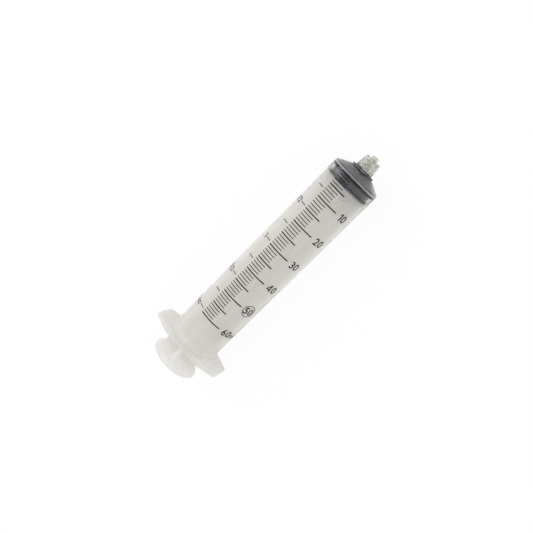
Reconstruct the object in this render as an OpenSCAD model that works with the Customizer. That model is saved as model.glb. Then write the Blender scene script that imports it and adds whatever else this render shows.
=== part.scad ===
// Large hypodermic syringe: barrel, rubber stopper, plunger rod and printed scales.
// Millimetres. It lies on a table with +X along its axis towards the tip and +Z up.
// Places along the axis are measured from the zero mark, forwards to the tip.

/* [Barrel] */
// Inner diameter of the barrel, which sets how far apart the millilitre marks are
bore_d = 26.72; // [24:0.01:30]
// Wall of the barrel
wall_t = 1.34; // [1:0.01:1.8]
// From the zero mark back to the front face of the finger flange
barrel_len = 128.3; // [124:0.1:150]
// Height of the ring inside the mouth that keeps the stopper in
keeper_h = 0.3; // [0.2:0.01:0.5]
// Length of that ring along the bore
keeper_len = 1.6; // [1:0.1:3]
// From the rear face of the barrel forwards to the ring
keeper_inset = 4; // [3:0.1:8]
// How much the barrel swells where it meets the flange
neck_h = 0.8; // [0.3:0.05:1.5]
// Length of that swelling
neck_len = 7; // [4:0.5:12]
// Radius of the fillet between the barrel and the flange
root_fillet = 1.6; // [0.5:0.1:3]

/* [Finger flange] */
// Width over both wings
flange_span = 48; // [42:0.5:60]
// Width across the flats, which the syringe lies on
flange_depth = 30.6; // [30.6:0.1:36]
// Length of each flat
flange_flat = 24.4; // [16:0.2:28]
// Width of a wing at its tip
wing_tip = 16; // [10:0.2:20]
// Thickness of the flange
flange_t = 2.4; // [1.8:0.1:3.5]
// Corner radius between a flat and a wing
flat_round = 3; // [1:0.1:4]
// Corner radius at a wing's tip
tip_round = 2; // [1:0.1:4]
// Chamfer round the flange's faces
flange_ease = 0.4; // [0.2:0.05:0.8]

/* [Front end] */
// From the zero mark to the inner corner of the end wall
corner_s = 0.6; // [0.3:0.05:1.5]
// Slope of the end wall, from square to the axis
cone_angle = 27; // [15:0.5:40]
// Radius of the outer shoulder
shoulder_round = 1.6; // [0.5:0.1:3]
// Thickness of the end wall, along the axis
end_t = 1.9; // [1.2:0.05:2.6]
// Diameter of the step that carries the lock collar
step_d = 14; // [12.4:0.1:16]
// Height of that step above the cone
step_h = 1.05; // [0.6:0.05:2]
// Diameter of the recess behind the step
recess_d = 13; // [9:0.1:13.6]
// Wall that is left between that recess and the step's face
recess_wall = 0.9; // [0.5:0.05:1.6]
// Diameter of the channel for the liquid
channel_d = 2.3; // [1.5:0.05:2.6]
// Diameter of the male taper at its end
taper_tip_d = 3.95; // [3.9:0.01:4]
// Growth of the taper's diameter for each millimetre of its length
taper_share = 0.06; // [0.05:0.001:0.07]
// From the zero mark to the end of the taper
tip_s = 16; // [15.4:0.1:18]

/* [Lock collar] */
// Length of the collar
collar_len = 7.4; // [6:0.1:8]
// Outer diameter where it meets the step
collar_base_d = 10.9; // [10:0.1:12]
// Outer diameter at its open end
collar_end_d = 9.1; // [8.8:0.1:11]
// Inner diameter, at the root of its thread
collar_bore_d = 8; // [7.9:0.01:8.2]
// Rounding of the collar's open end
collar_ease = 0.2; // [0.1:0.05:0.3]

/* [Stopper] */
// Length of the stopper behind the zero mark
stopper_len = 6.2; // [5.6:0.1:9]
// Height of the two sealing ribs over the groove between them
rib_h = 1; // [0.5:0.05:1.4]
// Length of each sealing rib
rib_len = 1.3; // [0.8:0.05:1.8]
// From the rear face of the stopper to the rear rib
skirt_len = 1; // [0.6:0.05:2]
// Height of the ribs over the skirt behind them
skirt_h = 0.5; // [0.35:0.05:0.9]
// Gap between the stopper's cone and the end wall
cone_gap = 0.5; // [0.2:0.05:1]
// Gap between the stopper's nose and its recess
nose_gap = 0.15; // [0.1:0.05:0.4]
// Gap between the ribs and the bore, which the rubber closes on the real one
seal_gap = 0.03; // [0.01:0.01:0.1]
// Diameter of the socket for the rod's head
socket_d = 18.4; // [16:0.1:19]
// Depth of the socket from the stopper's rear face
socket_depth = 4.6; // [4:0.1:5]
// Height of the lip that holds the head in
lip_h = 0.9; // [0.5:0.05:1.2]
// Length of that lip
lip_len = 1.1; // [0.8:0.05:1.5]

/* [Plunger rod] */
// Gap round the fins, from the bore
fin_gap = 1.36; // [0.6:0.01:4]
// Thickness of a fin
fin_t = 1.7; // [1.2:0.05:2.5]
// Thickness of the disc behind the stopper
disc_t = 1.6; // [1.2:0.1:2.4]
// Gap round the disc, from the bore
disc_gap = 0.9; // [0.6:0.05:1.5]
// Gap between the head and the stopper's socket
head_gap = 0.08; // [0.03:0.01:0.1]
// Gap between the disc and the stopper's rear face
face_gap = 0.2; // [0.1:0.05:0.5]
// From the flange's rear face to the thumb rest, with the plunger pushed home
thumb_stand = 11.4; // [9:0.1:20]
// Diameter of the thumb rest
thumb_d = 28.9; // [24:0.1:30]
// Thickness of the thumb rest
thumb_t = 2.6; // [2:0.1:4]
// Rounding of the thumb rest's edge
thumb_round = 1; // [0.5:0.1:1]
// Width of the grip grooves in the thumb rest
groove_w = 0.9; // [0.5:0.05:1.5]
// Depth of those grooves
groove_t = 0.4; // [0.2:0.05:0.7]
// Size of the gussets between the fins and the thumb rest
gusset = 2; // [1:0.5:7]

/* [Printing] */
// Highest millilitre mark
top_ml = 60; // [10:10:60]
// Thickness of the ink
ink_t = 0.05; // [0.03:0.01:0.1]
// Width of an ordinary mark
thin_mark = 0.44; // [0.2:0.02:0.6]
// Width of every fifth mark
bold_mark = 0.66; // [0.3:0.02:0.8]
// Where the millilitre marks start, in degrees from the top towards the ounce side
mark_start_angle = 22.5; // [10:0.5:30]
// Length of an ordinary mark, in degrees
short_mark_angle = 29.7; // [20:0.1:40]
// Length of a mark at each five, in degrees
mid_mark_angle = 41.5; // [30:0.1:50]
// Length of a mark at each ten, in degrees
long_mark_angle = 53.5; // [45:0.1:60]
// Gap between the two scales, in degrees
scale_gap_angle = 4.7; // [2:0.1:8]
// Length of an ounce mark, in degrees
ounce_mark_angle = 16.4; // [8:0.1:24]

/* [Hidden] */

// Overrun of a cut past the face that it goes through
over = 1;
// Air between the ink and the barrel, so that their curved faces never cross
ink_gap = 0.01;
// Straight lines in a quarter of a turned or drawn round
quarter_steps = 6;
// Marks between two bold marks, and between two long ones
bold_every = 5;
long_every = 10;
// Edge of a cube that holds a millilitre, and millilitres in a quarter of a fluid ounce
ml_edge = 10;
quarter_ounce_ml = 7.393;
// Rounding at the edges of the stopper's ribs, and of the rod's disc and head
rib_round = 0.35;
disc_round = 0.4;
// Chamfer at the barrel's mouth
mouth_ease = 0.5;
// Places of the thumb rest's grooves, as shares of its radius
groove_shares = [0.42, 0.68];
// How far the neck's swelling has grown half way along, as a share of it
neck_mid_share = 0.35;

bore_r = bore_d / 2;
outer_r = bore_r + wall_t;
ml_pitch = pow(ml_edge, 3) / (PI * bore_r * bore_r);
slope = tan(cone_angle);

// Axial places, from the zero mark
flange_s = -barrel_len;
mouth_s = flange_s - flange_t;
keeper_s = mouth_s + keeper_inset;
step_r = step_d / 2;
recess_r = recess_d / 2;
recess_s = corner_s + (bore_r - recess_r) * slope;
cone_foot_s = corner_s + end_t + (bore_r - outer_r) * slope;
step_s = cone_foot_s + (outer_r - step_r) * slope;
seat_s = step_s + step_h;
recess_end_s = seat_s - recess_wall;
collar_end_s = seat_s + collar_len;
taper_base_r = taper_tip_d / 2 + (tip_s - seat_s) * taper_share / 2;
stopper_s = -stopper_len;
disc_s = stopper_s - face_gap;
fins_s = disc_s - disc_t;
thumb_s = mouth_s - thumb_stand;
thumb_end_s = thumb_s - thumb_t;

// Where the zero mark and the axis lie, so that the part's box is centred over the origin
zero_x = -(tip_s + thumb_end_s) / 2;
axis_z = max(flange_depth / 2, outer_r, thumb_d / 2);

// Millilitre marks that the barrel has room for
ml_room = barrel_len - neck_len - ml_pitch;
ml_marks = min(top_ml, floor(ml_room / ml_pitch));
ounce_marks = floor(ml_marks / quarter_ounce_ml);

// Half the rod's width over its fins, and where a fin meets the thumb rest
fin_half = bore_r - fin_gap;
fin_rear_half = min(fin_half, thumb_d / 2 - thumb_round);

// How far the plunger draws back before its rear rib meets the keeper ring
rib_rear_s = stopper_s + skirt_len;
travel = rib_rear_s - (keeper_s + keeper_len);
echo(travel = travel, zero_x = zero_x, axis_z = axis_z, seat_s = seat_s, ml_pitch = ml_pitch);

// Points of an arc, from one angle to another
function arc(centre, r, from, to) =
    [for (i = [0 : quarter_steps]) let (a = from + (to - from) * i / quarter_steps)
        centre + r * [cos(a), sin(a)]];

// Turns a shape that stands on Z into place: Z becomes the axis, X points down
module on_axis() {
    translate([zero_x, 0, axis_z]) rotate([0, 90, 0]) children();
}

module turned(points) {
    on_axis() rotate_extrude($fn = 96) polygon(points);
}

// Outside of the barrel, as [radius, place] from the mouth to the tip
function barrel_outside() = let (
        shoulder_r = outer_r - shoulder_round,
        shoulder_s = cone_foot_s - shoulder_round * (1 - sin(cone_angle)) / cos(cone_angle)
    )
    concat(
        [[0, mouth_s], [outer_r, mouth_s]],
        arc([shoulder_r, shoulder_s], shoulder_round, 0, 90 - cone_angle),
        [[step_r, step_s], [step_r, seat_s], [taper_base_r, seat_s]],
        [[taper_tip_d / 2, tip_s], [0, tip_s]]
    );

// The swelling at the flange, with the fillet that runs out onto it
function neck_points() = let (
        neck_r = outer_r + neck_h,
        fillet_end_s = flange_s + root_fillet
    )
    concat(
        [[0, mouth_s + flange_ease], [neck_r + root_fillet, mouth_s + flange_ease]],
        [[neck_r + root_fillet, flange_s]],
        arc([neck_r + root_fillet, fillet_end_s], root_fillet, 270, 180),
        [[outer_r + neck_h * neck_mid_share, fillet_end_s + neck_len / 2]],
        [[outer_r, fillet_end_s + neck_len], [0, fillet_end_s + neck_len]]
    );

// Inside of the barrel, from behind the mouth to past the tip
function barrel_inside() = let (keeper_r = bore_r - keeper_h)
    [
        [0, mouth_s - over],
        [bore_r + mouth_ease, mouth_s - over],
        [bore_r + mouth_ease, mouth_s],
        [bore_r, mouth_s + mouth_ease],
        [bore_r, keeper_s],
        [keeper_r, keeper_s + keeper_len / 3],
        [keeper_r, keeper_s + keeper_len * 2 / 3],
        [bore_r, keeper_s + keeper_len],
        [bore_r, corner_s],
        [recess_r, recess_s],
        [recess_r, recess_end_s],
        [channel_d / 2, recess_end_s],
        [channel_d / 2, tip_s + over],
        [0, tip_s + over]
    ];

// A quarter of the flange's outline, mirrored to all four corners by flange_outline
function flange_quarter(inset) = let (
        flat = [flange_depth / 2 - inset, flange_flat / 2],
        wing = [wing_tip / 2 - inset, flange_span / 2 - inset],
        lean = atan2(wing[1] - flat[1], flat[0] - wing[0])
    )
    concat(
        arc([flat[0] - flat_round, flat[1] - flat_round * tan((90 - lean) / 2)], flat_round, 0, 90 - lean),
        arc([wing[0] - tip_round * tan(lean / 2), wing[1] - tip_round], tip_round, 90 - lean, 90)
    );

function turned_back(points) = [for (i = [len(points) - 1 : -1 : 0]) points[i]];

function flange_outline(inset) = let (q = flange_quarter(inset))
    concat(
        q,
        [for (p = turned_back(q)) [-p[0], p[1]]],
        [for (p = q) [-p[0], -p[1]]],
        [for (p = turned_back(q)) [p[0], -p[1]]]
    );

// The flange's plate, with a chamfer's step on both faces
module flange() {
    on_axis() translate([0, 0, mouth_s]) {
        linear_extrude(flange_t) polygon(flange_outline(flange_ease));
        translate([0, 0, flange_ease]) linear_extrude(flange_t - 2 * flange_ease)
            polygon(flange_outline(0));
    }
}

// The neck never reaches past the flange's flats
module neck() {
    intersection() {
        turned(neck_points());
        on_axis() translate([0, 0, mouth_s])
            linear_extrude(flange_t + root_fillet + neck_len + over) polygon(flange_outline(0));
    }
}

module barrel() {
    color("#d9dad6") difference() {
        union() {
            turned(barrel_outside());
            neck();
            flange();
        }
        turned(barrel_inside());
    }
}

// The collar is moulded with the barrel, and stands on its step round the taper
module lock_collar() {
    base_r = collar_base_d / 2;
    end_r = collar_end_d / 2;
    collar_bore_r = collar_bore_d / 2;
    color("#cfd2d0") turned([
        [collar_bore_r, seat_s],
        [base_r, seat_s],
        [end_r, collar_end_s - collar_ease],
        [end_r - collar_ease, collar_end_s],
        [collar_bore_r + collar_ease, collar_end_s],
        [collar_bore_r, collar_end_s - collar_ease]
    ]);
}

module stopper() {
    rib_r = bore_r - seal_gap;
    groove_r = rib_r - rib_h;
    skirt_r = rib_r - skirt_h;
    nose_r = recess_r - nose_gap;
    front_s = corner_s - cone_gap;
    cone_s = front_s + rib_h * slope;
    nose_s = cone_s + (rib_r - rib_h - nose_r) * slope;
    socket_r = socket_d / 2;
    lip_r = socket_r - lip_h;
    socket_end_s = stopper_s + socket_depth;
    color("#3d3d47") turned(concat(
        [[lip_r, stopper_s], [skirt_r, stopper_s], [skirt_r, rib_rear_s]],
        arc([rib_r - rib_round, rib_rear_s + rib_round], rib_round, 270, 360),
        arc([rib_r - rib_round, rib_rear_s + rib_len - rib_round], rib_round, 0, 90),
        [[groove_r, rib_rear_s + rib_len], [groove_r, front_s - rib_len]],
        arc([rib_r - rib_round, front_s - rib_len + rib_round], rib_round, 270, 360),
        arc([rib_r - rib_round, front_s - rib_round], rib_round, 0, 90),
        [[rib_r - rib_h, cone_s], [nose_r, nose_s], [nose_r, recess_end_s - nose_gap]],
        [[0, recess_end_s - nose_gap], [0, socket_end_s], [socket_r, socket_end_s]],
        [[socket_r, stopper_s + lip_len], [lip_r, stopper_s + lip_len]]
    ));
}

// The rod's head, which snaps behind the lip of the stopper's socket
function head_points() = let (
        head_r = socket_d / 2 - head_gap,
        neck_r = head_r - lip_h,
        head_s = stopper_s + lip_len + head_gap,
        head_end_s = stopper_s + socket_depth - head_gap
    )
    concat(
        [[0, disc_s], [neck_r, disc_s], [neck_r, head_s], [head_r, head_s]],
        arc([head_r - disc_round, head_end_s - disc_round], disc_round, 0, 90),
        [[0, head_end_s]]
    );

function disc_points() = let (disc_r = bore_r - disc_gap)
    concat(
        [[0, fins_s]],
        arc([disc_r - disc_round, fins_s + disc_round], disc_round, 270, 360),
        arc([disc_r - disc_round, disc_s - disc_round], disc_round, 0, 90),
        [[0, disc_s]]
    );

function thumb_points() = let (thumb_r = thumb_d / 2)
    concat(
        [[0, thumb_end_s]],
        arc([thumb_r - thumb_round, thumb_end_s + thumb_round], thumb_round, 270, 360),
        arc([thumb_r - thumb_round, thumb_s - thumb_round], thumb_round, 0, 90),
        [[0, thumb_s]]
    );

// One plate of the cross, with a gusset at the thumb rest
module fin_pair() {
    front_half = min(fin_half, bore_r - disc_gap - disc_round);
    outline = [
        [-front_half, fins_s],
        [front_half, fins_s],
        [fin_half, fins_s - gusset],
        [fin_half, thumb_s + gusset],
        [fin_rear_half, thumb_s],
        [-fin_rear_half, thumb_s],
        [-fin_half, thumb_s + gusset],
        [-fin_half, fins_s - gusset]
    ];
    translate([0, fin_t / 2, 0]) rotate([90, 0, 0]) linear_extrude(fin_t) polygon(outline);
}

// A gusset fills the corner between a fin and the thumb rest
module gussets() {
    for (turn = [0 : 90 : 270]) rotate([0, 0, turn]) translate([0, 0, thumb_s])
        rotate([90, 0, 90]) linear_extrude(fin_rear_half)
            polygon([
                [-fin_t / 2 - gusset / 2, 0],
                [fin_t / 2 + gusset / 2, 0],
                [fin_t / 2, gusset],
                [-fin_t / 2, gusset]
            ]);
}

module plunger_rod() {
    color("#e4e5e2") difference() {
        union() {
            turned(head_points());
            turned(disc_points());
            turned(thumb_points());
            on_axis() {
                fin_pair();
                rotate([0, 0, 90]) fin_pair();
                gussets();
            }
        }
        for (share = groove_shares) {
            groove_r = share * thumb_d / 2;
            turned([
                [groove_r, thumb_end_s - over],
                [groove_r + groove_w, thumb_end_s - over],
                [groove_r + groove_w, thumb_end_s + groove_t],
                [groove_r, thumb_end_s + groove_t]
            ]);
        }
    }
}

// One printed mark: a thin arc of ink on the barrel. Angles run from the top towards -Y
module mark(place, start, sweep, width) {
    on_axis() rotate([0, 0, 180 + start]) rotate_extrude(angle = sweep, $fn = 180)
        translate([outer_r + ink_gap, place - width / 2]) square([ink_t, width]);
}

module ml_scale() {
    color("#1c1c1c") for (ml = [0 : ml_marks]) {
        five_angle = ml % bold_every == 0 ? mid_mark_angle : short_mark_angle;
        sweep = ml % long_every == 0 ? long_mark_angle : five_angle;
        mark(-ml * ml_pitch, -mark_start_angle, sweep, ml % bold_every == 0 ? bold_mark : thin_mark);
    }
}

module ounce_scale() {
    ounce_start = mark_start_angle + scale_gap_angle + ounce_mark_angle;
    color("#1c1c1c") for (i = [1 : ounce_marks])
        mark(-i * quarter_ounce_ml * ml_pitch, -ounce_start, ounce_mark_angle, thin_mark);
}

barrel();
lock_collar();
stopper();
plunger_rod();
ml_scale();
ounce_scale();
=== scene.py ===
# %% [markdown]
# # A large hypodermic syringe, lying on a white table
# A 60 ml syringe has three mouldings: a clear barrel, a rubber stopper and a plunger rod.
# The scales are printed on the barrel in black ink.
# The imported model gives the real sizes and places. This lesson makes each piece again as a
# smooth mesh in that frame, and gives it the finish of the real material.

# %% Load the frame
import bmesh
import bpy
import math
from mathutils import Matrix, Vector


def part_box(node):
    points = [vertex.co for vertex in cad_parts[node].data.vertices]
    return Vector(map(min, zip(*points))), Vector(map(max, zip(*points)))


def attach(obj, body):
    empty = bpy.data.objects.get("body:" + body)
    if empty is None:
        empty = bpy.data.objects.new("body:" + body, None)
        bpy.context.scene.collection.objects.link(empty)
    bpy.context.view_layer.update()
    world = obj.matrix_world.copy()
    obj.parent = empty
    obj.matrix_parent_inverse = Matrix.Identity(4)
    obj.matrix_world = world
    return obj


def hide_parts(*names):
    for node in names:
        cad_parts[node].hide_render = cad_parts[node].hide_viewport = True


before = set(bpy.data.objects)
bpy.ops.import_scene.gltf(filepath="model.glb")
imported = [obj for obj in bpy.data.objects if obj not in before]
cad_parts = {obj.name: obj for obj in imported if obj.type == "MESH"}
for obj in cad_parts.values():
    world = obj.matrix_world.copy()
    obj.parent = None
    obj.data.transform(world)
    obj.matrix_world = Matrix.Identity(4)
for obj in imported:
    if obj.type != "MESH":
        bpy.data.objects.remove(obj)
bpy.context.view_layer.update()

# %% [markdown]
# ## Sizes
# A syringe is a turned shape, so every place on it needs two numbers: how far along the
# axis, and how far out. Along the axis we measure from the zero mark, forwards to the tip,
# because the printer and the stopper both start there. All of it is in millimetres.
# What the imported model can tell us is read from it, so the two can't drift apart.

# %% Sizes from the frame
MM = 0.001
LAST_ML = 60
BOLD_LINE = 0.66
barrel_low, barrel_high = (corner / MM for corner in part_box("barrel"))
collar_low, collar_high = (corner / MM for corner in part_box("lock_collar"))
stopper_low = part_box("stopper")[0] / MM
rod_low, rod_high = (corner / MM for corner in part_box("plunger_rod"))
marks_low, marks_high = (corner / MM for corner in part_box("ml_scale"))

AXIS_Z = (barrel_low.z + barrel_high.z) / 2
ZERO_X = marks_high.x - BOLD_LINE / 2
ML_STEP = (marks_high.x - marks_low.x - BOLD_LINE) / LAST_ML
MOUTH = barrel_low.x - ZERO_X
TIP = barrel_high.x - ZERO_X
SEAT = collar_low.x - ZERO_X
COLLAR_END = collar_high.x - ZERO_X
STOPPER_REAR = stopper_low.x - ZERO_X
THUMB_REAR = rod_low.x - ZERO_X
THUMB_R = (rod_high.z - rod_low.z) / 2
print(f"zero mark at x {ZERO_X:.2f}, axis at z {AXIS_Z:.2f}, one millilitre is {ML_STEP:.3f} mm")

# %% Sizes of the barrel
BORE_R = 13.36
OUTER_R = 14.7
FLANGE_T = 2.4
FLANGE = MOUTH + FLANGE_T
FLANGE_SPAN = barrel_high.y - barrel_low.y
FLANGE_DEPTH = barrel_high.z - barrel_low.z
STEP_R = 7
CONE_FOOT = 1.82
STEP_FOOT = 5.74
RECESS_R = 6.5
RECESS_FOOT = 4.1
RECESS_WALL = 0.9
RECESS_END = SEAT - RECESS_WALL
CHANNEL_R = 1.15
CORNER = 0.6
print(f"wall {OUTER_R - BORE_R:.2f} mm, flange {FLANGE_SPAN:.1f} by {FLANGE_DEPTH:.1f} mm")

# %% [markdown]
# ## Two small helpers for outlines
# Moulded parts have no sharp corners. We write an outline by its corners, each with the
# radius that rounds it, and one function puts the arcs in. The same outline can then be
# spun round the axis or lofted along it.

# %% Outline helpers
ARC_STEP = math.radians(12)
WELD = 0.0005 * MM


def rounded(corners, closed=True):
    """Points of an outline. A corner is (x, y) or (x, y, radius)."""
    points = []
    count = len(corners)
    for i, corner in enumerate(corners):
        here = Vector(corner[:2])
        radius = corner[2] if len(corner) > 2 else 0
        if not radius or (not closed and i in (0, count - 1)):
            points.append(here)
            continue
        back = Vector(corners[i - 1][:2]) - here
        ahead = Vector(corners[(i + 1) % count][:2]) - here
        half = back.angle(ahead) / 2
        reach = min(radius / math.tan(half), back.length * 0.49, ahead.length * 0.49)
        radius = reach * math.tan(half)
        centre = here + (back.normalized() + ahead.normalized()).normalized() * radius / math.sin(half)
        start = here + back.normalized() * reach - centre
        turn = -start.angle_signed(here + ahead.normalized() * reach - centre)
        steps = max(2, math.ceil(abs(turn) / ARC_STEP))
        for j in range(steps + 1):
            points.append(centre + Matrix.Rotation(turn * j / steps, 2) @ start)
    return points


def on_part(s, across, up):
    """A place on the syringe, in metres: along, sideways and upwards from the axis at the zero mark."""
    return Vector(((ZERO_X + s) * MM, across * MM, (AXIS_Z + up) * MM))


def spun(corners, closed=True, steps=160):
    """A bmesh that is an outline of (place, radius) corners turned round the axis."""
    bm = bmesh.new()
    verts = [bm.verts.new(on_part(s, 0, r)) for s, r in rounded(corners, closed)]
    pairs = zip(verts, verts[1:] + verts[:1]) if closed else zip(verts, verts[1:])
    edges = [bm.edges.new(pair) for pair in pairs]
    bmesh.ops.spin(bm, geom=verts + edges, cent=on_part(0, 0, 0), axis=(1, 0, 0),
                   angle=math.tau, steps=steps, use_merge=True)
    bmesh.ops.remove_doubles(bm, verts=bm.verts, dist=WELD)
    bmesh.ops.recalc_face_normals(bm, faces=bm.faces)
    return bm


def lofted(sections):
    """A closed bmesh through outlines, each a pair of its place along the axis and its points."""
    bm = bmesh.new()
    loops = []
    for s, points in sections:
        verts = [bm.verts.new(on_part(s, y, z)) for y, z in points]
        loops.append([bm.edges.new(pair) for pair in zip(verts, verts[1:] + verts[:1])])
        if s in (sections[0][0], sections[-1][0]):
            bm.faces.new(verts)
    for loop, after in zip(loops, loops[1:]):
        bmesh.ops.bridge_loops(bm, edges=loop + after)
    bmesh.ops.recalc_face_normals(bm, faces=bm.faces)
    return bm


square = [(0, 0, 1), (9, 0, 1), (9, 9, 1), (0, 9, 1)]
print("a square with rounded corners has", len(rounded(square)), "points")

# %% [markdown]
# ## From bmesh to piece
# Each piece becomes an object at the origin with its place in its mesh, as the packed
# nodes have it. Two solids are joined or cut with a Boolean modifier that is applied at
# once. Edges sharper than a moulded radius stay sharp, and all others shade smoothly.

# %% Piece helpers
SHARP = math.radians(32)


def make_object(name, bm):
    """An object at the origin from a bmesh, which is used up."""
    mesh = bpy.data.meshes.new(name)
    bm.to_mesh(mesh)
    bm.free()
    obj = bpy.data.objects.new(name, mesh)
    bpy.context.scene.collection.objects.link(obj)
    return obj


def combined(first, second, operation):
    """The bmesh of two closed bmeshes joined, cut or intersected."""
    base, tool = make_object("base", first), make_object("tool", second)
    boolean = base.modifiers.new("combine", "BOOLEAN")
    boolean.operation, boolean.solver, boolean.object = operation, "EXACT", tool
    result = base.evaluated_get(bpy.context.evaluated_depsgraph_get())
    bm = bmesh.new()
    bm.from_mesh(result.to_mesh())
    for obj in (base, tool):
        bpy.data.objects.remove(obj)
    bmesh.ops.remove_doubles(bm, verts=bm.verts, dist=WELD)
    return bm


def finished(name, bm, material, body, *nodes):
    """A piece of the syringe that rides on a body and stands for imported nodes."""
    open_edges = sum(1 for edge in bm.edges if not edge.is_manifold)
    for face in bm.faces:
        face.smooth = True
    for edge in bm.edges:
        edge.smooth = edge.is_manifold and edge.calc_face_angle() < SHARP
    obj = make_object(name, bm)
    obj.data.materials.append(material)
    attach(obj, body)
    if nodes:
        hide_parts(*nodes)
    print(f"{name}: {len(obj.data.polygons)} faces, {open_edges} open edges, rides on {body}")
    return obj


print(f"edges sharper than {math.degrees(SHARP):.0f} degrees stay sharp")

# %% [markdown]
# ## Material helpers
# Colours are written as the eye knows them, in sRGB hex, and turned to linear values once.
# Patterns are sized in real millimetres: a noise whose features are 0.4 mm across has a
# scale of 1000 / 0.4 for each metre.

# %% Material helpers
def linear(hex_colour):
    """Linear RGBA of an sRGB colour such as #C0FFEE."""
    parts = [int(hex_colour[i:i + 2], 16) / 255 for i in (1, 3, 5)]
    return [c / 12.92 if c <= 0.04045 else ((c + 0.055) / 1.055) ** 2.4 for c in parts] + [1]


def features(size_mm):
    """The scale at which a texture on Object coordinates has features of this size."""
    return 1 / (size_mm * MM)


def add(tree, kind, values=(), links=(), **settings):
    """Adds a node with its settings, its socket values and the sockets that feed it."""
    node = tree.nodes.new("ShaderNode" + kind)
    for name, value in settings.items():
        setattr(node, name, value)
    for name, value in dict(values).items():
        node.inputs[name].default_value = value
    for name, socket in dict(links).items():
        tree.links.new(socket, node.inputs[name])
    return node


def new_material(name):
    """An empty material and its node tree."""
    material = bpy.data.materials.new(name)
    material.use_nodes = True
    material.node_tree.nodes.clear()
    return material, material.node_tree


print("sRGB #808080 is", round(linear("#808080")[0], 3), "in linear light")

# %% [markdown]
# ## Clarified polypropylene, injection moulded
# The barrel is clarified polypropylene. It bends light as glass does, but fine crystals
# inside scatter a share of it, so what touches the wall shows sharply and the rest is
# veiled. The clear share is a glass shader. Towards a lamp it acts as a plain tinted film,
# or the inside would stay dark, because a lamp's ray can't be aimed through a bend. The
# haze is milk: a third of it shines back, and the rest glows with the light behind it.
# There is more milk where the plastic is thicker, at the flange and in the corner of the
# end wall, and where sight runs a long way along a wall. Against the dark stopper the wall
# looks clear but for its limbs. The melt flowed in from the tip, so the haze is drawn out
# along the axis. The thick flange and the stout front end swallow a little more light. The
# photograph shows the front end more sharply than the tube, so the plastic is smoother
# there. The mould's grain is finer than a tenth of a millimetre, and is drawn 0.5 mm across
# so that it shows.
# A real barrel is more even than this. The four tables were matched to the photograph, in
# which the stopper is pushed home. They can't follow it, so when it slides back the clear
# band stays in front, and the stopper looks paler than a real one would.

# %% Clarified polypropylene
HAZE_BY_PLACE = [
    # the flange, and the tube as far as the stopper
    (MOUTH, 0.6), (FLANGE + 2, 0.5), (MOUTH + 8, 0.36), (MOUTH + 26, 0.32), (-22, 0.32), (-5.6, 0.22),
    # the stopper's ribs and the groove between them
    (-5.0, 0.02), (-4.1, 0.02), (-3.6, 0.03), (-1.5, 0.03), (-1.0, 0), (0.45, 0),
    # the thick corner, the cone and the step
    (0.65, 0.48), (1.05, 0.48), (1.35, 0.1), (STEP_FOOT - 1.3, 0.08), (STEP_FOOT - 0.7, 0.01),
    # the collar and the taper
    (SEAT, 0.01), (SEAT + 0.8, 0.16), (TIP, 0.16),
]
RIM_HAZE_BY_PLACE = [
    # the groove, then the cone
    (-5.0, 0), (-4.0, 25), (-1.4, 25), (-0.8, 0),
    (1.2, 0), (1.6, 5), (STEP_FOOT - 1.3, 5), (STEP_FOOT - 0.7, 0),
]
TINT_BY_PLACE = [
    (MOUTH, "#F6F6F5"), (FLANGE, "#F6F6F5"), (FLANGE + 4, "#FEFEFD"),
    (SEAT, "#FEFEFD"), (SEAT + 0.8, "#F7F7F5"), (TIP, "#F7F7F5"),
]
ROUGH_BY_PLACE = [(MOUTH, 0.08), (-5.6, 0.08), (-5.0, 0.03), (TIP, 0.03)]
LONG_SIGHT_GAIN = 1.8
RIM_POWER = 4
GLOW_SHARE = 0.67


def with_stops(ramp, stops):
    """Gives a ramp along the syringe its (place, level or hex) stops, and hands on its colour."""
    elements = ramp.color_ramp.elements
    for i, (s, shade) in enumerate(stops):
        element = elements[i] if i < 2 else elements.new(1)
        element.position = (s - MOUTH) / (TIP - MOUTH)
        element.color = linear(shade) if isinstance(shade, str) else (shade, shade, shade, 1)
    return ramp.outputs["Color"]


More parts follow.
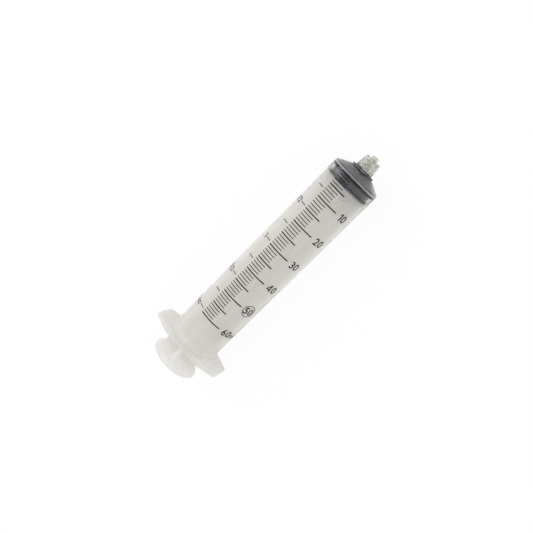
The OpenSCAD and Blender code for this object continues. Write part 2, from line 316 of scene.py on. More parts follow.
def clarified_polypropylene():
    """The barrel's plastic: glass with a share of milk that depends on the place."""
    material, tree = new_material("clarified_polypropylene")
    where = add(tree, "TexCoord").outputs["Object"]
    along = add(tree, "Mapping", {"Scale": (0.12, 1, 1)}, {"Vector": where}).outputs["Vector"]
    flow = add(tree, "TexNoise", {"Scale": features(7), "Detail": 2}, {"Vector": along}).outputs["Fac"]
    grain = add(tree, "TexNoise", {"Scale": features(0.5), "Detail": 2}, {"Vector": where}).outputs["Fac"]
    x = add(tree, "SeparateXYZ", (), {"Vector": where}).outputs["X"]
    share = add(tree, "MapRange", {"From Min": (ZERO_X + MOUTH) * MM, "From Max": (ZERO_X + TIP) * MM},
                {"Value": x}).outputs["Result"]
    haze_here = with_stops(add(tree, "ValToRGB", (), {"Fac": share}), HAZE_BY_PLACE)
    rim_here = with_stops(add(tree, "ValToRGB", (), {"Fac": share}), RIM_HAZE_BY_PLACE)
    tint = with_stops(add(tree, "ValToRGB", (), {"Fac": share}), TINT_BY_PLACE)
    rough_here = with_stops(add(tree, "ValToRGB", (), {"Fac": share}), ROUGH_BY_PLACE)

    patchy = add(tree, "MapRange", {"From Min": 0.3, "From Max": 0.7, "To Min": 0.92, "To Max": 1.08},
                 {"Value": flow}).outputs["Result"]
    facing = add(tree, "LayerWeight", {"Blend": 0.3}).outputs["Facing"]
    gain = add(tree, "Math", {1: LONG_SIGHT_GAIN, 2: 1}, {0: facing},
               operation="MULTIPLY_ADD").outputs["Value"]
    haze = add(tree, "Math", (), {0: haze_here, 1: patchy}, operation="MULTIPLY").outputs["Value"]
    haze = add(tree, "Math", (), {0: haze, 1: gain}, operation="MULTIPLY").outputs["Value"]
    steep = add(tree, "Math", {1: RIM_POWER}, {0: facing}, operation="POWER").outputs["Value"]
    haze = add(tree, "Math", (), {0: rim_here, 1: steep, 2: haze},
               operation="MULTIPLY_ADD").outputs["Value"]

    milky = add(tree, "MixRGB", {"Color1": linear("#FAF9F7"), "Color2": linear("#FDFCFA")},
                {"Fac": flow}).outputs["Color"]
    colour = add(tree, "MixRGB", {"Fac": 1}, {"Color1": milky, "Color2": tint},
                 blend_type="MULTIPLY").outputs["Color"]
    skin = add(tree, "BsdfDiffuse", (), {"Color": colour}).outputs["BSDF"]
    glow = add(tree, "BsdfTranslucent", (), {"Color": colour}).outputs["BSDF"]
    milk = add(tree, "MixShader", {0: GLOW_SHARE}, {1: skin, 2: glow}).outputs["Shader"]

    uneven = add(tree, "MapRange", {"From Min": 0.3, "From Max": 0.7, "To Min": 0.5, "To Max": 1},
                 {"Value": grain}).outputs["Result"]
    rough = add(tree, "Math", (), {0: rough_here, 1: uneven}, operation="MULTIPLY").outputs["Value"]
    bump = add(tree, "Bump", {"Strength": 0.1, "Distance": 0.004 * MM}, {"Height": grain}).outputs["Normal"]
    glass = add(tree, "BsdfGlass", {"IOR": 1.45},
                {"Color": tint, "Roughness": rough, "Normal": bump}).outputs["BSDF"]
    film = add(tree, "BsdfTransparent", (), {"Color": tint}).outputs["BSDF"]
    lamp = add(tree, "LightPath").outputs["Is Shadow Ray"]
    clear = add(tree, "MixShader", (), {0: lamp, 1: glass, 2: film}).outputs["Shader"]
    mixed = add(tree, "MixShader", (), {0: haze, 1: clear, 2: milk}).outputs["Shader"]
    add(tree, "OutputMaterial", (), {"Surface": mixed})
    return material


CLARIFIED_POLYPROPYLENE = clarified_polypropylene()
print("material:", CLARIFIED_POLYPROPYLENE.name)

# %% [markdown]
# ## The barrel's turned shape
# The barrel, its front end and the collar round the tip are one moulding, so they are one
# outline: from the flange along the outside, over the shoulder and the cone, up the step,
# round the collar, down between collar and tip, out to the tip, back through the channel
# and along the bore to the mouth. Spinning it gives walls of the right thickness, which
# the glass needs. At the flange it is a plain disc for now, wider than the wings.

# %% Turn the barrel
OVERRUN = 1
BLANK_R = 27
NECK_H = 0.8
NECK_MIDDLE_H = NECK_H * 0.35
NECK_LEN = 8.6
NECK_END = FLANGE + NECK_LEN
MOUTH_EASE = 0.5
COLLAR_BASE_R = (collar_high.y - collar_low.y) / 2
COLLAR_END_R = 4.55
COLLAR_BORE_R = 4
TAPER_BASE_R = 2.25
TAPER_TIP_R = 1.975
KEEPER_INSET = 4
KEEPER = MOUTH + KEEPER_INSET
KEEPER_LEN = 1.6
KEEPER_H = 0.3

barrel_corners = [
    (MOUTH - OVERRUN, BORE_R + MOUTH_EASE + OVERRUN),
    (MOUTH - OVERRUN, BLANK_R),
    (FLANGE, BLANK_R),
    (FLANGE, OUTER_R + NECK_H, 1.6),
    ((FLANGE + NECK_END) / 2, OUTER_R + NECK_MIDDLE_H, 12),
    (NECK_END, OUTER_R, 20),
    (CONE_FOOT, OUTER_R, 1.6),
    (STEP_FOOT, STEP_R, 0.25),
    (SEAT, STEP_R, 0.5),
    (SEAT, COLLAR_BASE_R, 0.3),
    (COLLAR_END, COLLAR_END_R, 0.2),
    (COLLAR_END, COLLAR_BORE_R, 0.15),
    (SEAT, COLLAR_BORE_R, 0.3),
    (SEAT, TAPER_BASE_R, 0.3),
    (TIP, TAPER_TIP_R, 0.25),
    (TIP, CHANNEL_R, 0.15),
    (RECESS_END, CHANNEL_R, 0.1),
    (RECESS_END, RECESS_R, 0.3),
    (RECESS_FOOT, RECESS_R, 0.15),
    (CORNER, BORE_R, 0.3),
    (KEEPER + KEEPER_LEN, BORE_R, 0.5),
    (KEEPER + KEEPER_LEN * 2 / 3, BORE_R - KEEPER_H, 0.5),
    (KEEPER + KEEPER_LEN / 3, BORE_R - KEEPER_H, 0.5),
    (KEEPER, BORE_R, 0.5),
    (MOUTH + MOUTH_EASE, BORE_R, 0.3),
]
barrel_bm = spun(barrel_corners)
print("turned barrel:", len(barrel_bm.faces), "faces")

# %% [markdown]
# ## The finger flange
# The wings are cut from that disc. A long prism with the flange's outline keeps only what
# is inside it, and trims the fillet where it runs out over the two flats. The prism is
# smaller at both faces of the flange, so its edges come out rounded, as the mould's are.

# %% Cut the flange
FLANGE_FLAT = 24.4
WING_TIP = 16
FLANGE_EASE = 0.4


def flange_outline(inset):
    """The flange's outline, drawn in by this much, as (across, up) points."""
    flat, depth = FLANGE_FLAT / 2, FLANGE_DEPTH / 2 - inset
    wing, span = WING_TIP / 2 - inset, FLANGE_SPAN / 2 - inset
    corner = [(flat, depth, 3), (span, wing, 2)]
    lower = [(y, -z, r) for y, z, r in reversed(corner)]
    right = corner + lower
    return rounded(right + [(-y, z, r) for y, z, r in reversed(right)])


def ease_places(face, inwards):
    """Places and insets that round an edge of the flange, from its face inwards."""
    quarter = [math.radians(a) for a in (90, 60, 30, 0)]
    return [(face + inwards * FLANGE_EASE * (1 - math.sin(a)), FLANGE_EASE * (1 - math.cos(a)))
            for a in quarter]


rear_edge = ease_places(MOUTH, 1)
front_edge = list(reversed(ease_places(FLANGE, -1)))
prism = rear_edge + front_edge + [(TIP + OVERRUN, FLANGE_EASE)]
barrel_bm = combined(barrel_bm, lofted([(s, flange_outline(inset)) for s, inset in prism]), "INTERSECT")
print("barrel with its flange:", len(barrel_bm.faces), "faces")

# %% [markdown]
# ## The lock's thread
# Inside the collar a needle's hub is held by a thread with two starts, which climbs 5 mm
# in a turn. One tooth is drawn as a small outline and spun with a step forwards, which
# makes a screw. At both ends the tooth sinks into the wall, as a moulded thread runs out.

# %% Thread in the collar
THREAD_LEAD = 5
THREAD_TURNS = 1.15
THREAD_CREST_R = 3.5
THREAD_SINK = 0.06
THREAD_FOOT_R = COLLAR_BORE_R + THREAD_SINK
THREAD_INSET = 1.1
THREAD_START = SEAT + THREAD_INSET
THREAD_STEPS = 110
START_TURNS = (0.15, 0.65)
HALF_FOOT = 0.55
HALF_CREST = 0.2
RUN_OUT = math.radians(40)
END_DEPTH = 0.9


def thread(start_turn):
    """One start of the screw thread, as a closed bmesh."""
    bm = bmesh.new()
    tooth = [(-HALF_FOOT, THREAD_FOOT_R), (-HALF_CREST, THREAD_CREST_R),
             (HALF_CREST, THREAD_CREST_R), (HALF_FOOT, THREAD_FOOT_R)]
    verts = [bm.verts.new(on_part(THREAD_START + s, 0, r)) for s, r in tooth]
    edges = [bm.edges.new(pair) for pair in zip(verts, verts[1:] + verts[:1])]
    angle = THREAD_TURNS * math.tau
    climb = Vector((THREAD_LEAD * THREAD_TURNS / THREAD_STEPS * MM, 0, 0))
    first_loop = bm.faces.new(verts)
    swept = bmesh.ops.spin(bm, geom=verts + edges, cent=on_part(0, 0, 0), axis=(1, 0, 0), dvec=climb,
                           angle=angle, steps=THREAD_STEPS)
    bm.faces.new([item for item in swept["geom_last"] if isinstance(item, bmesh.types.BMVert)])
    first_loop.normal_update()
    centre = on_part(0, 0, 0)
    for vert in bm.verts:
        turned = (vert.co.x - on_part(THREAD_START, 0, 0).x) / (THREAD_LEAD * MM) * math.tau
        fade = min(1, max(0, turned) / RUN_OUT, max(0, angle - turned) / RUN_OUT)
        out = Vector((0, vert.co.y - centre.y, vert.co.z - centre.z))
        vert.co += out.normalized() * (THREAD_FOOT_R * MM - out.length) * (1 - fade) * END_DEPTH
    bmesh.ops.rotate(bm, verts=bm.verts, cent=centre,
                     matrix=Matrix.Rotation(start_turn * math.tau, 3, "X"))
    bmesh.ops.recalc_face_normals(bm, faces=bm.faces)
    return bm


for start_turn in START_TURNS:
    barrel_bm = combined(barrel_bm, thread(start_turn), "UNION")
barrel = finished("barrel_moulding", barrel_bm, CLARIFIED_POLYPROPYLENE, "barrel", "barrel", "lock_collar")

# %% [markdown]
# ## Stopper rubber
# The stopper is halobutyl rubber, filled with carbon black and moulded against a fine
# blasted tool, then coated with silicone oil. The eye gets a deep charcoal with a cool
# tinge and a broad soft shine, a little uneven where the oil pools. The blast's grain is
# drawn 0.5 mm across, several times its real size, or it wouldn't show.

# %% Stopper rubber
def stopper_rubber():
    """The stopper's rubber, under its film of oil."""
    material, tree = new_material("halobutyl_rubber")
    where = add(tree, "TexCoord").outputs["Object"]
    pools = add(tree, "TexNoise", {"Scale": features(3), "Detail": 3}, {"Vector": where}).outputs["Fac"]
    colour = add(tree, "MixRGB", {"Color1": linear("#121120"), "Color2": linear("#1C1B30")},
                 {"Fac": pools}).outputs["Color"]
    rough = add(tree, "MapRange", {"From Min": 0.3, "From Max": 0.7, "To Min": 0.42, "To Max": 0.6},
                {"Value": pools}).outputs["Result"]
    blast = add(tree, "TexNoise", {"Scale": features(0.5), "Detail": 2}, {"Vector": where}).outputs["Fac"]
    bump = add(tree, "Bump", {"Strength": 0.15, "Distance": 0.004 * MM},
               {"Height": blast}).outputs["Normal"]
    rubber = add(tree, "BsdfPrincipled", {"IOR": 1.52, "Specular IOR Level": 0.15},
                 {"Base Color": colour, "Roughness": rough, "Normal": bump})
    add(tree, "OutputMaterial", (), {"Surface": rubber.outputs["BSDF"]})
    return material


STOPPER_RUBBER = stopper_rubber()
print("material:", STOPPER_RUBBER.name)

# %% [markdown]
# ## The stopper
# Two ribs press on the bore, with a groove between them. The nose is a cone that fits the
# barrel's end wall, so almost nothing is left over when the plunger is pushed home. From
# behind, a socket with a lip takes the rod's head. It is a turned shape again, and its
# outline starts and ends on the axis. Oiled rubber wets the wall, and no film of air is
# left between the two to shine. So the ribs, the cone and the nose are drawn a few
# hundredths of a millimetre into the plastic.

# %% Turn the stopper
WET = 0.05
RIB_R = BORE_R + WET
STOPPER_NOSE = RECESS_END + WET / 2
STOPPER_FRONT = 0.1
RIB_H = 1
RIB_LEN = 1.3
SKIRT_LEN = 1
SKIRT_H = 0.5
RIB_FLANK = 0.25
NOSE_R = RECESS_R + WET
NOSE_SLOPE = (BORE_R - RECESS_R) / (RECESS_FOOT - CORNER)
NOSE_EDGE = 0.25
SOCKET_R = 9.2
SOCKET_DEPTH = 4.6
LIP_H = 0.9
LIP_LEN = 1.1
GROOVE_R = RIB_R - RIB_H

stopper_corners = [
    (STOPPER_NOSE, 0),
    (STOPPER_NOSE, NOSE_R, 0.3),
    (RECESS_FOOT, NOSE_R, 0.15),
    (CORNER + NOSE_EDGE, BORE_R + WET * 2 - NOSE_EDGE * NOSE_SLOPE, 0.3),
    (STOPPER_FRONT, RIB_R, 0.4),
    (STOPPER_FRONT - RIB_LEN, RIB_R, 0.5),
    (STOPPER_FRONT - RIB_LEN - RIB_FLANK, GROOVE_R, 0.4),
    (STOPPER_REAR + SKIRT_LEN + RIB_LEN + RIB_FLANK, GROOVE_R, 0.4),
    (STOPPER_REAR + SKIRT_LEN + RIB_LEN, RIB_R, 0.5),
    (STOPPER_REAR + SKIRT_LEN, RIB_R, 0.5),
    (STOPPER_REAR + SKIRT_LEN, RIB_R - SKIRT_H, 0.2),
    (STOPPER_REAR, RIB_R - SKIRT_H, 0.3),
    (STOPPER_REAR, SOCKET_R - LIP_H, 0.25),
    (STOPPER_REAR + LIP_LEN, SOCKET_R - LIP_H, 0.25),
    (STOPPER_REAR + LIP_LEN, SOCKET_R, 0.2),
    (STOPPER_REAR + SOCKET_DEPTH, SOCKET_R, 0.4),
    (STOPPER_REAR + SOCKET_DEPTH, 0),
]
stopper_bm = spun(stopper_corners, closed=False)
stopper = finished("rubber_stopper", stopper_bm, STOPPER_RUBBER, "stopper", "stopper")

# %% [markdown]
# ## Natural polypropylene
# The rod is moulded from the same plastic without the clarifier: milky, waxy and a little
# uneven. Light wanders through its thin walls. A translucent share lets it pass, and the
# rest of the surface scatters it under the skin. The mould's grain is drawn 0.35 mm
# across, coarser than the real one, so that it shows.

# %% Natural polypropylene
PASSING_SHARE = 0.75


def rod_polypropylene():
    """The rod's milky plastic."""
    material, tree = new_material("natural_polypropylene")
    where = add(tree, "TexCoord").outputs["Object"]
    along = add(tree, "Mapping", {"Scale": (0.2, 1, 1)}, {"Vector": where}).outputs["Vector"]
    cloud = add(tree, "TexNoise", {"Scale": features(6), "Detail": 3}, {"Vector": along}).outputs["Fac"]
    colour = add(tree, "MixRGB", {"Color1": linear("#F2F1EF"), "Color2": linear("#F7F6F4")},
                 {"Fac": cloud}).outputs["Color"]
    grain = add(tree, "TexNoise", {"Scale": features(0.35), "Detail": 2}, {"Vector": where}).outputs["Fac"]
    rough = add(tree, "MapRange", {"From Min": 0.3, "From Max": 0.7, "To Min": 0.3, "To Max": 0.42},
                {"Value": grain}).outputs["Result"]
    bump = add(tree, "Bump", {"Strength": 0.2, "Distance": 0.02 * MM}, {"Height": grain}).outputs["Normal"]
    plastic = add(tree, "BsdfPrincipled",
                  {"IOR": 1.49, "Subsurface Weight": 1, "Subsurface Radius": (1, 1, 1),
                   "Subsurface Scale": 6 * MM},
                  {"Base Color": colour, "Roughness": rough, "Normal": bump}).outputs["BSDF"]
    glow = add(tree, "BsdfTranslucent", (), {"Color": colour, "Normal": bump}).outputs["BSDF"]
    mixed = add(tree, "MixShader", {0: PASSING_SHARE}, {1: plastic, 2: glow}).outputs["Shader"]
    add(tree, "OutputMaterial", (), {"Surface": mixed})
    return material


ROD_POLYPROPYLENE = rod_polypropylene()
print("material:", ROD_POLYPROPYLENE.name)

# %% [markdown]
# ## The plunger rod
# A rod of four thin fins is stiff and cools evenly in the mould. In front, a disc backs
# the stopper, and a mushroom head snaps into its socket. Behind is the thumb rest, with
# two grip grooves in its face. Head, disc and thumb rest are turned. The fins are a cross,
# lofted along the axis, that thickens where it meets the thumb rest.

# %% Turn the rod's round parts
FACE_GAP = 0.2
DISC_T = 1.6
DISC_CLEARANCE = 0.9
DISC_R = BORE_R - DISC_CLEARANCE
SNAP_CLEARANCE = 0.08
HEAD_R = SOCKET_R - SNAP_CLEARANCE
HEAD_NECK_R = HEAD_R - LIP_H
THUMB_T = 2.6
THUMB = THUMB_REAR + THUMB_T
DISC_FRONT = STOPPER_REAR - FACE_GAP
DISC_REAR = DISC_FRONT - DISC_T
HEAD_FRONT = STOPPER_REAR + SOCKET_DEPTH - SNAP_CLEARANCE
HEAD_REAR = STOPPER_REAR + LIP_LEN + SNAP_CLEARANCE
GRIP_SHARES = (0.68, 0.42)
GRIP_W = 0.9
GRIP_T = 0.4

front_corners = [
    (HEAD_FRONT, 0),
    (HEAD_FRONT, HEAD_R, 0.4),
    (HEAD_REAR, HEAD_R, 0.15),
    (HEAD_REAR, HEAD_NECK_R, 0.2),
    (DISC_FRONT, HEAD_NECK_R, 0.2),
    (DISC_FRONT, DISC_R, 0.4),
    (DISC_REAR, DISC_R, 0.4),
    (DISC_REAR, 0),
]
grooves = []
for share in GRIP_SHARES:
    inner = share * THUMB_R
    outer = inner + GRIP_W
    grooves += [(THUMB_REAR, outer, 0.12), (THUMB_REAR + GRIP_T, outer, 0.15),
                (THUMB_REAR + GRIP_T, inner, 0.15), (THUMB_REAR, inner, 0.12)]
thumb_corners = [
    (THUMB, 0),
    (THUMB, THUMB_R, 1),
    (THUMB_REAR, THUMB_R, 1),
    *grooves,
    (THUMB_REAR, 0),
]
front_bm = spun(front_corners, closed=False)
thumb_bm = spun(thumb_corners, closed=False)
print("rod: front", len(front_bm.faces), "faces, thumb rest", len(thumb_bm.faces), "faces")

# %% Loft the fins
FIN_CLEARANCE = 1.36
FIN_HALF = BORE_R - FIN_CLEARANCE
FIN_T = 1.7
FIN_EASE = 0.8
GUSSET = 2
GUSSET_MIDDLE = GUSSET * 0.35


def cross(thickness):
    """A cross of four fins, as (across, up) points."""
    t = thickness / 2
    quarter = [(t, FIN_HALF, FIN_EASE), (t, t, FIN_EASE), (FIN_HALF, t, FIN_EASE)]
    corners = []
    for turn in range(4):
        c, s = (1, 0, -1, 0)[turn], (0, 1, 0, -1)[turn]
        corners += [(y * c + z * s, z * c - y * s, r) for y, z, r in quarter]
    return rounded(corners)


fins_bm = lofted([
    (DISC_REAR + DISC_T / 2, cross(FIN_T)),
    (THUMB + GUSSET, cross(FIN_T)),
    (THUMB + GUSSET / 2, cross(FIN_T + GUSSET_MIDDLE)),
    (THUMB - THUMB_T / 4, cross(FIN_T + GUSSET)),
])
rod_bm = combined(combined(fins_bm, front_bm, "UNION"), thumb_bm, "UNION")
rod = finished("rod_moulding", rod_bm, ROD_POLYPROPYLENE, "plunger", "plunger_rod")

# %% [markdown]
# ## Printing ink
# The scales are printed with a black ink that dries to a thin even film. It is a shade off
# black, hardly shiny, and slightly patchy where the screen left less ink.

# %% Printing ink
def printing_ink():
    """The black ink of both scales."""
    material, tree = new_material("black_printing_ink")
    where = add(tree, "TexCoord").outputs["Object"]
    patches = add(tree, "TexNoise", {"Scale": features(0.6), "Detail": 3}, {"Vector": where}).outputs["Fac"]
    colour = add(tree, "MixRGB", {"Color1": linear("#040405"), "Color2": linear("#0E0E10")},
                 {"Fac": patches}).outputs["Color"]
    ink = add(tree, "BsdfPrincipled", {"Roughness": 0.5, "IOR": 1.5, "Specular IOR Level": 0.15},
              {"Base Color": colour})
    add(tree, "OutputMaterial", (), {"Surface": ink.outputs["BSDF"]})
    return material


PRINTING_INK = printing_ink()
print("material:", PRINTING_INK.name)

# %% [markdown]
# ## Printing on a tube
# The press prints flat art while the barrel rolls under it. We do the same: draw the art
# flat, in millimetres round the barrel from its top and along it from the zero mark, slice
# it finely across so that it can bend, give it the ink's thickness, and roll it on.

# %% Roll flat art onto the barrel
INK_T = 0.05
INK_GAP = 0.01
INK_R = OUTER_R + INK_GAP
SLICE = 0.6
CUT_TOLERANCE = SLICE / 1000


def rolled(bm):
    """Gives flat art its thickness and rolls it onto the barrel."""
    lowest = min(vert.co.x for vert in bm.verts)
    highest = max(vert.co.x for vert in bm.verts)
    for i in range(math.ceil(lowest / SLICE), math.floor(highest / SLICE) + 1):
        bmesh.ops.bisect_plane(bm, geom=bm.verts[:] + bm.edges[:] + bm.faces[:], dist=CUT_TOLERANCE,
                               plane_co=(i * SLICE, 0, 0), plane_no=(1, 0, 0))
    raised = bmesh.ops.extrude_face_region(bm, geom=bm.faces[:], use_keep_orig=True)
    top = [item for item in raised["geom"] if isinstance(item, bmesh.types.BMVert)]
    bmesh.ops.translate(bm, verts=top, vec=(0, 0, INK_T))
    for vert in bm.verts:
        turn = vert.co.x / OUTER_R
        out = INK_R + vert.co.z
        vert.co = on_part(vert.co.y, -out * math.sin(turn), out * math.cos(turn))
    bmesh.ops.recalc_face_normals(bm, faces=bm.faces)
    return bm


def round_mm(degrees):
    """Millimetres round the barrel from its top, from degrees."""
    return math.radians(degrees) * OUTER_R


def bar(bm, start, sweep, place, width):
    """Adds a straight line of ink that runs round the barrel."""
    middle = round_mm(start + sweep / 2)
    stretch = Matrix.Diagonal((round_mm(sweep), width, 1, 1))
    bmesh.ops.create_grid(bm, x_segments=1, y_segments=1, size=0.5,
                          matrix=Matrix.Translation((middle, place, 0)) @ stretch)


print(f"10 degrees round the barrel are {round_mm(10):.2f} mm")

# %% [markdown]
# ## The millilitre marks
# One mark for each millilitre, longer and bolder at each five, and longest at each ten.
# They all start at one line along the barrel. Lengths round the barrel are in degrees.

# %% Millilitre marks
THIN_LINE = 0.44
ML_START = -22.5
TEN_SWEEP = 53.5
FIVE_SWEEP = 41.5
ONE_SWEEP = 29.7
ml_bm = bmesh.new()
for ml in range(LAST_ML + 1):
    sweep = TEN_SWEEP if ml % 10 == 0 else FIVE_SWEEP if ml % 5 == 0 else ONE_SWEEP
    bar(ml_bm, ML_START, sweep, -ml * ML_STEP, BOLD_LINE if ml % 5 == 0 else THIN_LINE)
ml_marks = finished("ml_marks", rolled(ml_bm), PRINTING_INK, "barrel", "ml_scale")

# %% [markdown]
# ## The ounce marks
# A second scale beside the first has a short mark at each quarter of a fluid ounce.

# %% Ounce marks
QUARTER_OUNCE = 7.393
OUNCE_SWEEP = 16.4
SCALE_GAP = 4.7
OUNCE_START = ML_START - SCALE_GAP - OUNCE_SWEEP
ounce_bm = bmesh.new()
for quarter in range(1, 9):
    bar(ounce_bm, OUNCE_START, OUNCE_SWEEP, -quarter * QUARTER_OUNCE * ML_STEP, THIN_LINE)
ounce_marks = finished("ounce_marks", rolled(ounce_bm), PRINTING_INK, "barrel", "ounce_scale")

# %% [markdown]
# ## The figures
# Blender's own font gives the figures, one at a time, scaled so that a nought is 1 high.
# Its 1 is a bare bar and its 4 is almost closed, which read badly on a small scale, so we
# draw those two. The font's outlines are set a little fatter, as ink spreads.

# %% Flat figures
NOUGHT_H = 0.72
INK_SPREAD = 0.013
FIGURE_GAP = 0.13
DRAWN_FIGURES = {
    "1": ([(0.22, 0), (0.38, 0), (0.38, 1), (0.22, 1), (0.22, 0.84), (0, 0.82), (0, 0.69)],
          [(0, 1, 2, 3, 4), (4, 3, 5, 6)]),
    "4": ([(0, 0.22), (0.42, 0.22), (0.42, 0), (0.57, 0), (0.57, 0.22), (0.7, 0.22), (0.7, 0.35),
           (0.57, 0.35), (0.57, 1), (0.39, 1), (0, 0.36), (0.16, 0.35), (0.42, 0.35), (0.42, 0.76)],
          [(0, 1, 12, 11, 10), (2, 3, 4, 1), (1, 4, 7, 12), (4, 5, 6, 7), (12, 7, 8, 9, 13),
           (10, 11, 13, 9)]),
}


def figure(letter):
    """The flat mesh of one figure, with its foot on the line and its left end at 0."""
    if letter in DRAWN_FIGURES:
        corners, faces = DRAWN_FIGURES[letter]
        mesh = bpy.data.meshes.new("figure")
        mesh.from_pydata([(x, y, 0) for x, y in corners], [], faces)
        return mesh
    curve = bpy.data.curves.new("figure", "FONT")
    curve.body, curve.size, curve.offset, curve.resolution_u = letter, 1, INK_SPREAD, 4
    obj = bpy.data.objects.new("figure", curve)
    bpy.context.scene.collection.objects.link(obj)
    mesh = bpy.data.meshes.new_from_object(obj.evaluated_get(bpy.context.evaluated_depsgraph_get()))
    bpy.data.objects.remove(obj)
    left = min(vert.co.x for vert in mesh.vertices)
    mesh.transform(Matrix.Scale(1 / NOUGHT_H, 4) @ Matrix.Translation((-left, 0, 0)))
    return mesh


def add_figures(bm, text, height, foot, left=None, right=None):
    """Adds flat figures of a height on a line, with their left or right end given."""
    letters = [figure(letter) for letter in text]
    widths = [max(vert.co.x for vert in letter.vertices) for letter in letters]
    width = (sum(widths) + FIGURE_GAP * (len(text) - 1)) * height
    start = left if left is not None else right - width
    pen = start
    for letter, wide in zip(letters, widths):
        letter.transform(Matrix.Translation((pen, foot, 0)) @ Matrix.Diagonal((height, height, 1, 1)))
        bm.from_mesh(letter)
        pen += (wide + FIGURE_GAP) * height
    print(f"figures {text}: {width:.2f} mm wide")
    return start, start + width


# %% [markdown]
# ## The numerals
# Each number stands beside its mark, and its top points at the tip. The figure of the
# nominal capacity, 50, stands in a ring. The ounces are counted in halves.

# %% Numerals
ML_FIGURE_H = 4.4
ML_FIGURE_START = 41.5
UNIT_H = 3.3
UNIT_SHIFT = 6.6
NOMINAL_ML = 50
RING_R = 3.95
RING_LINE = 0.36
OUNCE_FIGURE_H = 3.4
WORD_GAP = 1.4
MARK_TO_FIGURE = 2.2
OUNCE_FIGURE_END = OUNCE_START - MARK_TO_FIGURE

ml_figures_bm = bmesh.new()
for ml in range(10, LAST_ML + 1, 10):
    foot = -ml * ML_STEP - ML_FIGURE_H / 2
    start, end = add_figures(ml_figures_bm, str(ml), ML_FIGURE_H, foot, left=round_mm(ML_FIGURE_START))
    if ml == NOMINAL_ML:
        ring_at = Matrix.Translation(((start + end) / 2, -ml * ML_STEP, 0))
        inner = bmesh.ops.create_circle(ml_figures_bm, segments=64, radius=RING_R - RING_LINE,
                                        matrix=ring_at)
        outer = bmesh.ops.create_circle(ml_figures_bm, segments=64, radius=RING_R, matrix=ring_at)
        rims = {edge for vert in inner["verts"] + outer["verts"] for edge in vert.link_edges}
        bmesh.ops.bridge_loops(ml_figures_bm, edges=list(rims))
add_figures(ml_figures_bm, "ml", UNIT_H, foot, left=round_mm(ML_FIGURE_START) + UNIT_SHIFT)
ml_figures = finished("ml_numerals", rolled(ml_figures_bm), PRINTING_INK, "barrel")

ounce_figures_bm = bmesh.new()
for quarter, words in ((2, ["1/2"]), (4, ["1"]), (6, ["1", "1/2"]), (8, ["2", "oz"])):
    foot = -quarter * QUARTER_OUNCE * ML_STEP - OUNCE_FIGURE_H / 2
    right = round_mm(OUNCE_FIGURE_END)
    for word in reversed(words):
        start, _ = add_figures(ounce_figures_bm, word, OUNCE_FIGURE_H, foot, right=right)
        right = start - WORD_GAP
ounce_figures = finished("ounce_numerals", rolled(ounce_figures_bm), PRINTING_INK, "barrel")

# %% [markdown]
# ## Finishes
# Each piece got its finish when it was made: the barrel, the stopper, the rod and four pieces of print.

# %% Finishes
print("each piece has its finish: the barrel, the stopper, the rod and four pieces of print")

# %% [markdown]
# ## Table, light and world
# A white table and a soft white sky light a clear object evenly. A large lamp on the ounce
# side gives the barrel its long soft highlight, and a weaker one on the other side, towards
# the tip, fills the shade. The camera sees the table close to white, also through the
# plastic and in its shine, and the syringe's shadow stays on it, faintly.

# %% Table
TABLE_HALF = 3
WHITE_SHARE = 0.9


def white_table():
    """A matt white that the eye, but not the light, takes for a lit backdrop."""
    material, tree = new_material("white_table")
    where = add(tree, "TexCoord").outputs["Object"]
    fine = add(tree, "TexNoise", {"Scale": features(4), "Detail": 2}, {"Vector": where}).outputs["Fac"]
    colour = add(tree, "MixRGB", {"Color1": linear("#F4F4F4"), "Color2": linear("#F8F8F8")},
                 {"Fac": fine}).outputs["Color"]
    matt = add(tree, "BsdfDiffuse", (), {"Color": colour}).outputs["BSDF"]
    white = add(tree, "Emission", {"Strength": 1.0}).outputs["Emission"]
    path = add(tree, "LightPath").outputs
    seen = add(tree, "Math", (), {0: path["Is Camera Ray"], 1: path["Is Transmission Ray"]},
               operation="MAXIMUM").outputs["Value"]
    seen = add(tree, "Math", (), {0: seen, 1: path["Is Glossy Ray"]}, operation="MAXIMUM").outputs["Value"]
    share = add(tree, "Math", {1: WHITE_SHARE}, {0: seen}, operation="MULTIPLY").outputs["Value"]
    mixed = add(tree, "MixShader", (), {0: share, 1: matt, 2: white}).outputs["Shader"]
    add(tree, "OutputMaterial", (), {"Surface": mixed})
    return material


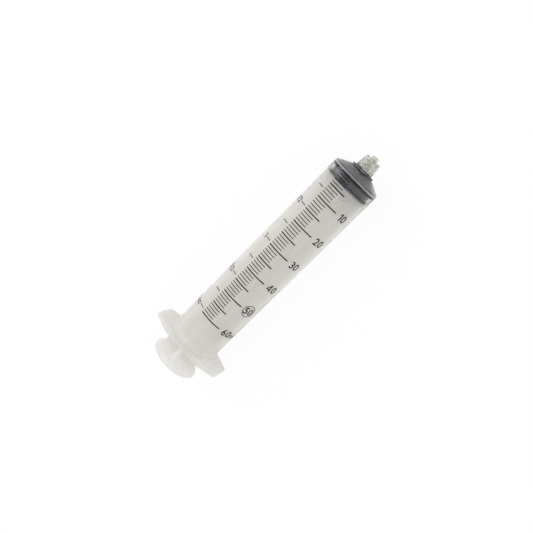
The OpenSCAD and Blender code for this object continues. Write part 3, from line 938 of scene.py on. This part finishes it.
table_bm = bmesh.new()
bmesh.ops.create_grid(table_bm, x_segments=1, y_segments=1, size=TABLE_HALF)
table = make_object("table", table_bm)
table.data.materials.append(white_table())
print("table:", table.data.materials[0].name)

# %% World and lamps
LAMP_SIZE = 0.8
LAMP_AIM = Vector((0, 0, 0.015))

world = bpy.data.worlds.new("white_sky")
bpy.context.scene.world = world
world.use_nodes = True
world.node_tree.nodes["Background"].inputs["Color"].default_value = linear("#FFFFFF")
world.node_tree.nodes["Background"].inputs["Strength"].default_value = 1


def soft_lamp(name, place, power):
    """Hangs a large round lamp that faces the syringe."""
    lamp = bpy.data.lights.new(name, "AREA")
    lamp.shape, lamp.size, lamp.energy = "DISK", LAMP_SIZE, power
    obj = bpy.data.objects.new(name, lamp)
    obj.location = place
    obj.rotation_euler = (LAMP_AIM - Vector(place)).to_track_quat("-Z", "Y").to_euler()
    bpy.context.scene.collection.objects.link(obj)
    print(f"{name}: {power} W, {LAMP_SIZE} m across")


soft_lamp("key_lamp", (0.0, 0.9, 0.5), 2.2)
soft_lamp("fill_lamp", (0.6, -0.9, 0.5), 1.2)

# %% [markdown]
# ## Camera
# The photograph looks down on the syringe from near its tip, and is turned so that the
# tip points up to the right. The camera stands at that distance, height and turn.

# %% Camera
AIM = Vector((-2.51, 0.36, 15.3)) * MM
DISTANCE = 366.5 * MM
AZIMUTH, ELEVATION = math.radians(56.63), math.radians(73.5)
TURN = math.radians(-100.41)
LENS, SENSOR = 45.03, 36

camera = bpy.data.objects.new("camera", bpy.data.cameras.new("camera"))
camera.data.lens, camera.data.sensor_width = LENS, SENSOR
back = Vector((math.sin(AZIMUTH) * math.cos(ELEVATION), -math.cos(AZIMUTH) * math.cos(ELEVATION),
               math.sin(ELEVATION)))
look = (-back).to_track_quat("-Z", "Y").to_matrix().to_4x4()
camera.matrix_world = Matrix.Translation(AIM + back * DISTANCE) @ look @ Matrix.Rotation(TURN, 4, "Z")
bpy.context.scene.collection.objects.link(camera)
bpy.context.scene.camera = camera
bpy.context.scene.view_settings.view_transform = "Standard"
print(f"camera {DISTANCE / MM:.1f} mm from the syringe, {math.degrees(ELEVATION):.1f} degrees above it")
